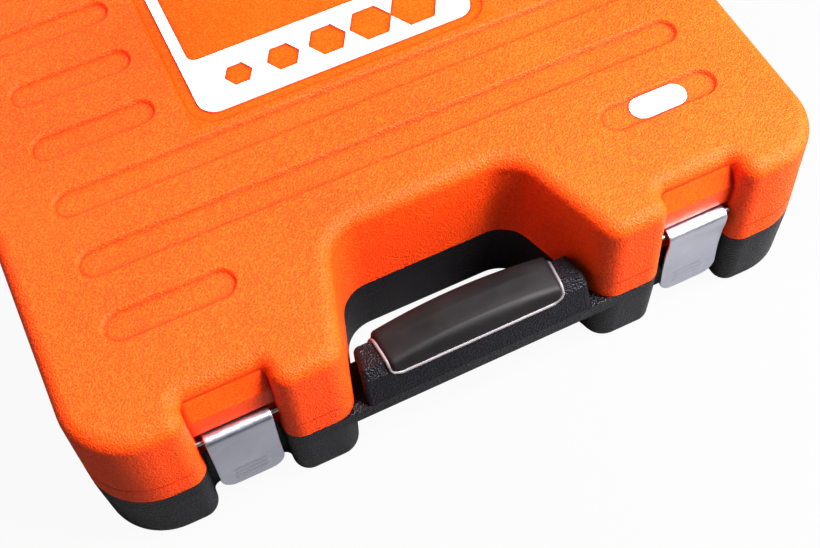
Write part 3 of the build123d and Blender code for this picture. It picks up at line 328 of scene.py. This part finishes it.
# %% [markdown]
# ## Smooth rubber, trim and labels
#
# The grip is a smooth thermoplastic rubber, the trim a pale plastic line moulded round
# it, and the label and sticker are printed film. None of them is perfectly even: rubber
# has a cloudy sheen from handling, and film takes a faint orange-peel ripple.

# %% Smooth finishes
def smooth_finish(name, dark, pale, roughness, cloud_scale, ripple_scale, ripple_depth,
                  **sockets):
    """A nearly even finish: cloudy colour and sheen, and a faint ripple."""
    finish, tree, shader, place = new_finish(name, **sockets)
    cloud = noise(tree, place, cloud_scale, 4.0, 0.6)
    tree.links.new(ramp(tree, cloud, (0.3, dark), (0.7, pale)), shader.inputs["Base Color"])
    tree.links.new(spread(tree, cloud, 0.3, 0.7, roughness - 0.05, roughness + 0.06),
                   shader.inputs["Roughness"])
    press_grain(tree, shader, noise(tree, place, ripple_scale, 2.0), ripple_depth, 0.5)
    return finish


finishes["soft_grip"] = smooth_finish(
    "soft_grip", (0.0075, 0.0065, 0.007), (0.013, 0.011, 0.012), 0.56, 60.0, 2400.0, 0.00004,
    **{"Specular IOR Level": 0.25})
finishes["grip_trim"] = smooth_finish(
    "grip_trim", (0.15, 0.135, 0.142), (0.19, 0.17, 0.178), 0.45, 90.0, 900.0, 0.00003)
finishes["label_white"] = smooth_finish(
    "label_white", (0.50, 0.49, 0.50), (0.55, 0.54, 0.55), 0.36, 40.0, 500.0, 0.00003)
finishes["tool_grip"] = smooth_finish(
    "tool_grip", (0.010, 0.010, 0.011), (0.020, 0.020, 0.022), 0.46, 80.0, 2200.0, 0.00006)
finishes["plug_rubber"] = smooth_finish(
    "plug_rubber", (0.012, 0.012, 0.012), (0.022, 0.022, 0.022), 0.6, 90.0, 1800.0, 0.00006)
finishes["rail_plastic"] = smooth_finish(
    "rail_plastic", (0.55, 0.045, 0.005), (0.70, 0.070, 0.008), 0.36, 50.0, 1500.0, 0.00004)
print("smooth finishes added", len(finishes))

# %% [markdown]
# ## Metals
#
# Three metals differ in how they were finished. The latches are satin nickel over
# pressed steel, with a faint peened surface that breaks a reflection into speckle. The
# sockets and tools are chrome, brighter and smoother, with faint smears. The bits and
# pins are plain steel. On a metal the colour is the reflection's tint, so most of the
# look is roughness and a very small bump.

# %% Metal finishes
def metal_finish(name, dark, pale, roughness, uneven, peen_scale, peen_depth, **sockets):
    """A metal: tint and roughness drift, and a fine peened or ground bump."""
    finish, tree, shader, place = new_finish(name, Metallic=1.0, **sockets)
    cloud = noise(tree, place, 35.0, 5.0, 0.6)
    fine = noise(tree, place, peen_scale, 3.0, 0.6)
    tree.links.new(ramp(tree, cloud, (0.3, dark), (0.7, pale)), shader.inputs["Base Color"])
    worn = math_node(tree, "ADD", math_node(tree, "MULTIPLY", cloud, 0.6),
                     math_node(tree, "MULTIPLY", fine, 0.4))
    tree.links.new(spread(tree, worn, 0.3, 0.7, roughness - uneven, roughness + uneven),
                   shader.inputs["Roughness"])
    press_grain(tree, shader, fine, peen_depth, 0.6)
    return finish


finishes["latch_steel"] = metal_finish(
    "latch_steel", (0.56, 0.57, 0.65), (0.67, 0.68, 0.76), 0.33, 0.06, 1100.0, 0.00022)
finishes["pin_steel"] = metal_finish(
    "pin_steel", (0.42, 0.42, 0.43), (0.52, 0.52, 0.53), 0.34, 0.06, 1200.0, 0.00003)
finishes["bit_steel"] = metal_finish(
    "bit_steel", (0.22, 0.225, 0.235), (0.32, 0.325, 0.335), 0.42, 0.06, 1600.0, 0.00004)
finishes["socket_chrome"] = metal_finish(
    "socket_chrome", (0.66, 0.66, 0.67), (0.74, 0.74, 0.75), 0.17, 0.05, 900.0, 0.00001)
finishes["tool_chrome"] = metal_finish(
    "tool_chrome", (0.60, 0.60, 0.61), (0.70, 0.70, 0.71), 0.24, 0.06, 1100.0, 0.00002)
print("metal finishes added", len(finishes))

# %% [markdown]
# ## Foam
#
# Open-cell foam has no gloss at all, and its dark pores show between paler cell walls.
# The same soft cells as in the grain give both its colour and its bump.

# %% Foam finish
foam_finish, foam_tree, foam_shader, foam_place = new_finish("lid_foam", Roughness=0.95)
pores = cells(foam_tree, foam_place, 900.0)
foam_colour = ramp(foam_tree, pores, (0.1, (0.022, 0.022, 0.024)), (0.7, (0.055, 0.055, 0.060)))
foam_tree.links.new(foam_colour, foam_shader.inputs["Base Color"])
press_grain(foam_tree, foam_shader, pores, 0.0004, 0.8)
finishes["lid_foam"] = foam_finish
print("foam finish ready")

# %% [markdown]
# ## Finishes onto the CAD pieces
#
# Each CAD piece came with one slot named after its finish, so a loop over the pieces is
# enough. Assigning to the slot changes the finish and leaves the mesh alone.

# %% Give every CAD piece its finish
for name, piece in sorted(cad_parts.items()):
    for material_slot in piece.material_slots:
        material_slot.material = finishes[material_slot.material.name.split(".")[0]]
print("finished CAD pieces", len(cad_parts))

# %% [markdown]
# ## Shared shaping helpers
#
# The latches and the grip are both bent surfaces: a section curve seen from the side,
# carried across in X. So one helper draws a smooth curve through a few points, and one
# lays a flat grid of faces onto a surface given as a function of two fractions. A grid
# laid this way keeps even quads, which is what makes bent steel and rubber look smooth.

# %% Helpers for bent surfaces
def smooth_path(points, per_span=12):
    """Points of an even curve through the given (y, z) points, in millimetres."""
    ends = [points[0], *points, points[-1]]
    path = []
    for before, here, there, after in zip(ends, ends[1:], ends[2:], ends[3:]):
        for step in range(per_span):
            t = step / per_span
            path.append(Vector(
                0.5 * (2 * b + (c - a) * t + (2 * a - 5 * b + 4 * c - d) * t * t
                       + (3 * b - a - 3 * c + d) * t ** 3)
                for a, b, c, d in zip(before, here, there, after)))
    path.append(Vector(points[-1]))
    return path


def at_length(path, fraction):
    """The point of a path at a fraction of its length, and the side it faces."""
    lengths = [0.0]
    for a, b in zip(path, path[1:]):
        lengths.append(lengths[-1] + (b - a).length)
    goal = fraction * lengths[-1]
    for a, b, start, end in zip(path, path[1:], lengths, lengths[1:]):
        if goal <= end or b is path[-1]:
            along = (b - a).normalized()
            share = (goal - start) / max(end - start, 1e-9)
            return a.lerp(b, min(share, 1.0)), Vector((-along.y, along.x))


def laid_grid(mesh, across, along, surface):
    """A grid whose vertices are put where surface(u, v) says, u and v from 0 to 1."""
    made = bmesh.ops.create_grid(mesh, x_segments=across, y_segments=along, size=0.5)
    for vertex in made["verts"]:
        vertex.co = Vector(surface(vertex.co.x + 0.5, vertex.co.y + 0.5)) * MM
    return made["verts"]


def finished_piece(name, mesh, body, node, slot):
    """A mesh as an object that rides a body and stands for a CAD node."""
    bmesh.ops.recalc_face_normals(mesh, faces=mesh.faces)
    data = bpy.data.meshes.new(name)
    mesh.to_mesh(data)
    mesh.free()
    data.materials.append(finishes[slot])
    data.shade_smooth()
    piece = bpy.data.objects.new(name, data)
    scene.collection.objects.link(piece)
    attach(piece, body)
    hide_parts(node)
    print(name, "faces", len(data.polygons))
    return piece


# %% [markdown]
# ## Latches
#
# A latch is one strip of steel about 1.3 mm thick, dished a little down its face, with
# two rounded lower corners and its top rolled back round the pin. It could be an
# extruded section with the corners cut off, but that leaves hard rims. Here a grid is
# laid on the face, its rows narrowing to round the corners, and then thickened and its
# rims bevelled. Three plain pressed ribs low on the face give a thumb its grip.

# %% Make the latches
LATCH_HALF_WIDTH = 17.0
LATCH_CORNER_RADIUS = 8.0
LATCH_SHEET = 1.3
LATCH_RIM_BEVEL = 0.3
LATCH_FOOT, LATCH_PIN = (-159.4, 18.5), (-155.8, 66.9)
ROLL_RADIUS = 3.1
RIBS = (24.5, 28.0, 31.5)
RIB_HALF_LENGTH, RIB_HALF_HEIGHT, RIB_RISE = 8.0, 1.2, 0.6
HOOK_SIZE, HOOK_CENTRE = (24.0, 4.0, 3.0), (-155.6, 30.2)

FRONT_STRETCH = 1.24
latch_path = smooth_path([LATCH_FOOT, (-158.75, 27.0), (-158.2, 41.0), (-158.6, 54.0),
                          (-159.55, 63.0)])
for step in range(1, 18):
    turn = math.radians(180 - 15 * step)
    reach = ROLL_RADIUS * (FRONT_STRETCH if math.cos(turn) < 0 else 1.0)
    latch_path.append(Vector((LATCH_PIN[0] + reach * math.cos(turn),
                              LATCH_PIN[1] + ROLL_RADIUS * math.sin(turn))))


def rib_rise(x, z):
    """How far the pressed ribs stand out at a place on the latch's face."""
    rise = 0.0
    for rib in RIBS:
        past_end = max(abs(x) - RIB_HALF_LENGTH, 0.0)
        off = math.hypot(past_end, z - rib) / RIB_HALF_HEIGHT
        if off < 1.0:
            rise += RIB_RISE * math.cos(off * math.pi / 2)
    return rise


def latch_surface(u, v):
    """The latch's outer face: u across it, v up its section and round the roll."""
    place, facing = at_length(latch_path, v)
    half = LATCH_HALF_WIDTH
    height = place.y - LATCH_FOOT[1]
    if v < 0.5 and height < LATCH_CORNER_RADIUS:
        drop = LATCH_CORNER_RADIUS - height
        half -= LATCH_CORNER_RADIUS - math.sqrt(max(LATCH_CORNER_RADIUS ** 2 - drop ** 2, 0.0))
    x = (2 * u - 1) * half
    rise = rib_rise(x, place.y) if v < 0.5 else 0.0
    return x, place.x + facing.x * rise, place.y + facing.y * rise


def soften(mesh, width, angle=50.0):
    """Bevels every edge sharper than an angle in degrees."""
    sharp = [edge for edge in mesh.edges if len(edge.link_faces) == 2
             and edge.calc_face_angle(0) > math.radians(angle)]
    bmesh.ops.bevel(mesh, geom=sharp, offset=width * MM, segments=2, profile=0.5,
                    affect="EDGES", material=-1)


for side, latch_name in ((-1, "latch_left"), (1, "latch_right")):
    mesh = bmesh.new()
    laid_grid(mesh, 36, 110, latch_surface)
    for face in mesh.faces:
        face.normal_update()
    bmesh.ops.solidify(mesh, geom=mesh.faces[:], thickness=-LATCH_SHEET * MM)
    hook = bmesh.ops.create_cube(mesh, size=1.0)["verts"]
    bmesh.ops.scale(mesh, verts=hook, vec=Vector(HOOK_SIZE) * MM)
    bmesh.ops.translate(mesh, verts=hook, vec=Vector((0, *HOOK_CENTRE)) * MM)
    bmesh.ops.recalc_face_normals(mesh, faces=mesh.faces)
    soften(mesh, LATCH_RIM_BEVEL)
    bmesh.ops.translate(mesh, verts=mesh.verts, vec=(side * LATCH_X, 0, 0))
    finished_piece(f"{latch_name}_plate", mesh, latch_name, latch_name, "latch_steel")

# %% [markdown]
# ## The handle's grip and its trim
#
# The grip is a skin of soft rubber moulded over the case's handle bar. It starts at a
# pale trim line at the front, has a flat top with rounded edges, swells a little towards
# the middle of its length, and goes down the back where the fingers go. A grid is laid
# on its outer section, a second one on the bar itself, and a strip of faces joins the
# two rims. The trim is a half-sunk round bead that follows the grip's rim round the
# front and both sides, so it is a tube laid along three edges of the same grid.

# %% Make the grip
GRIP_HALF_FRONT, GRIP_HALF_BACK = 47.0, 50.3
GRIP_CORNER = 4.5
GRIP_CROWN = 3.4
GRIP_RIM = 0.02
outer_path = smooth_path([(-161.2, 60.0), (-161.0, 64.6), (-159.2, 67.8), (-155.0, 68.5),
                          (-148.0, 68.5), (-141.2, 68.3), (-138.0, 66.6), (-137.0, 62.0),
                          (-136.8, 54.0), (-136.8, 46.8)])
bar_path = smooth_path([(-161.1, 59.9), (-160.3, 62.2), (-158.6, 65.2), (-155.6, 66.9),
                        (-149.0, 66.9), (-143.4, 66.3), (-140.4, 63.6), (-138.3, 58.6),
                        (-138.0, 52.0), (-138.0, 46.7)])
outer_length = sum((b - a).length for a, b in zip(outer_path, outer_path[1:]))


def rim_lift(u, v):
    """0 on the grip's rim, rising over a rounded edge to 1 inside it."""
    inset = min(u / GRIP_RIM, (1 - u) / GRIP_RIM, v / (2 * GRIP_RIM), (1 - v) / GRIP_RIM, 1.0)
    return math.sqrt(max(1 - (1 - inset) ** 2, 0.0))


def grip_half(v):
    """Half the grip's length at a fraction of the way round its section."""
    half = GRIP_HALF_FRONT + (GRIP_HALF_BACK - GRIP_HALF_FRONT) * v
    gone = v * outer_length
    if gone < GRIP_CORNER:
        half -= GRIP_CORNER - math.sqrt(GRIP_CORNER ** 2 - (GRIP_CORNER - gone) ** 2)
    return half


def grip_surface(lift):
    """The skin at a share of its full thickness; 0 lies on the bar."""
    def surface(u, v):
        along = 2 * u - 1
        share = lift * rim_lift(u, v)
        inner, outward = at_length(bar_path, v)
        outer, _ = at_length(outer_path, v)
        crown = GRIP_CROWN * (1 - along ** 2) * share
        place = inner.lerp(outer, share)
        over = min(max((v - 0.08) / 0.14, 0.0), 1.0)
        behind = min(max((v - 0.45) / 0.2, 0.0), 1.0)
        return (along * grip_half(v), place.x + crown * behind + 0.02 * outward.x,
                place.y + crown * over * (1 - 0.7 * behind) + 0.02 * outward.y)
    return surface


mesh = bmesh.new()
for lift in (1.0, 0.0):
    laid_grid(mesh, 96, 72, grip_surface(lift))
rims = [edge for edge in mesh.edges if edge.is_boundary]
bmesh.ops.bridge_loops(mesh, edges=rims)
finished_piece("handle_grip_skin", mesh, "case_base", "handle_grip", "soft_grip")

# %% Lay the trim along the grip's rim
TRIM_RADIUS = 0.95
TRIM_OUT = 0.5
rim_steps = [(0.0, 1 - step / 30) for step in range(31)]
rim_steps += [(step / 60, 0.0) for step in range(1, 60)]
rim_steps += [(1.0, step / 30) for step in range(31)]
bar_surface = grip_surface(0.0)
rim_line = []
for u, v in rim_steps:
    x, y, z = bar_surface(u, v)
    at_front = v == 0
    sideways = 0.0 if at_front else math.copysign(TRIM_OUT, u - 0.5)
    forward = 0.3 * TRIM_OUT if at_front else 0.0
    down = TRIM_OUT if at_front else 0.0
    rim_line.append(Vector((x + sideways, y - forward, z - down)))


def trim_surface(u, v):
    """A round bead about the rim line: u round the bead, v along the line."""
    reach = v * (len(rim_line) - 1)
    first = min(int(reach + 1e-6), len(rim_line) - 2)
    place = rim_line[first].lerp(rim_line[first + 1], reach - first)
    before, after = rim_line[max(first - 1, 0)], rim_line[min(first + 2, len(rim_line) - 1)]
    ahead = (after - before).normalized()
    side = ahead.cross(Vector((0.0, 0.35, 1.0))).normalized()
    up = side.cross(ahead)
    turn = 2 * math.pi * u
    return place + TRIM_RADIUS * (math.cos(turn) * side + math.sin(turn) * up)


mesh = bmesh.new()
laid_grid(mesh, 12, len(rim_line) - 1, trim_surface)
bmesh.ops.remove_doubles(mesh, verts=mesh.verts, dist=0.00001)
bmesh.ops.holes_fill(mesh, edges=[edge for edge in mesh.edges if edge.is_boundary], sides=0)
finished_piece("grip_trim_bead", mesh, "case_base", "grip_trim", "grip_trim")

# %% [markdown]
# ## The foam in the lid
#
# The foam pad is cut from egg-crate sheet: its back is flat against the lid's liner, and
# its front is rows of soft bumps that press on the tools. The CAD pad gives its outline
# exactly, so a copy of that mesh is cut into a grid of small faces, and the lower face's
# vertices are moved up in the hollows between bumps.

# %% Make the foam pad
FOAM_CUT = 5.0
FOAM_PITCH, FOAM_HOLLOW = 24.0, 2.6
RIM_ANGLE = 0.5
foam_low, foam_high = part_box("lid_foam")
mesh = bmesh.new()
mesh.from_mesh(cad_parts["lid_foam"].data)
bmesh.ops.remove_doubles(mesh, verts=mesh.verts, dist=0.00001)
for axis in (0, 1):
    cut_count = int((foam_high[axis] - foam_low[axis]) / (FOAM_CUT * MM))
    normal = Vector((axis == 0, axis == 1, 0))
    for step in range(1, cut_count):
        place = foam_low.lerp(foam_high, step / cut_count)
        bmesh.ops.bisect_plane(mesh, geom=[*mesh.verts, *mesh.edges, *mesh.faces],
                               plane_co=place, plane_no=normal, dist=0.000001)
for vertex in mesh.verts:
    on_rim = any(edge.calc_face_angle(0) > RIM_ANGLE for edge in vertex.link_edges
                 if len(edge.link_faces) == 2)
    if vertex.co.z < foam_low.z + 0.1 * MM and not on_rim:
        wave = (math.cos(2 * math.pi * vertex.co.x / (FOAM_PITCH * MM))
                * math.cos(2 * math.pi * vertex.co.y / (FOAM_PITCH * MM)))
        vertex.co.z += FOAM_HOLLOW * MM * (0.5 - 0.5 * wave)
foam_pad = finished_piece("lid_foam_pad", mesh, "lid", "lid_foam", "lid_foam")

# %% [markdown]
# ## The table
#
# A plain pale floor, a hair below the case so that the two surfaces don't flicker. Seen
# by the camera it glows almost white, as a table lit from below does, while for every
# other ray it is grey, so it doesn't wash out the case's walls.

# %% Lay the floor
FLOOR_DROP = 0.0002
FLOOR_GLOW = 0.95
floor_mesh = bmesh.new()
bmesh.ops.create_grid(floor_mesh, x_segments=1, y_segments=1, size=3.0)
bmesh.ops.translate(floor_mesh, verts=floor_mesh.verts, vec=(0, 0, -FLOOR_DROP))
floor_data = bpy.data.meshes.new("floor")
floor_mesh.to_mesh(floor_data)
floor_mesh.free()
floor = bpy.data.objects.new("floor", floor_data)
floor_finish, floor_tree, floor_shader, floor_place = new_finish("table_white", Roughness=0.7)
floor_tree.links.new(ramp(floor_tree, noise(floor_tree, floor_place, 3.0),
                          (0.3, (0.12, 0.12, 0.12)), (0.7, (0.14, 0.14, 0.14))),
                     floor_shader.inputs["Base Color"])
glow = add_node(floor_tree, "ShaderNodeEmission", Strength=1.0)
seen = add_node(floor_tree, "ShaderNodeLightPath")
blend = add_node(floor_tree, "ShaderNodeMixShader")
floor_end = next(node for node in floor_tree.nodes if node.type == "OUTPUT_MATERIAL")
floor_tree.links.new(math_node(floor_tree, "MULTIPLY", seen.outputs["Is Camera Ray"], FLOOR_GLOW),
                     blend.inputs[0])
floor_tree.links.new(floor_shader.outputs[0], blend.inputs[1])
floor_tree.links.new(glow.outputs[0], blend.inputs[2])
floor_tree.links.new(blend.outputs[0], floor_end.inputs["Surface"])
floor_data.materials.append(floor_finish)
scene.collection.objects.link(floor)
print("floor ready, glow", FLOOR_GLOW)
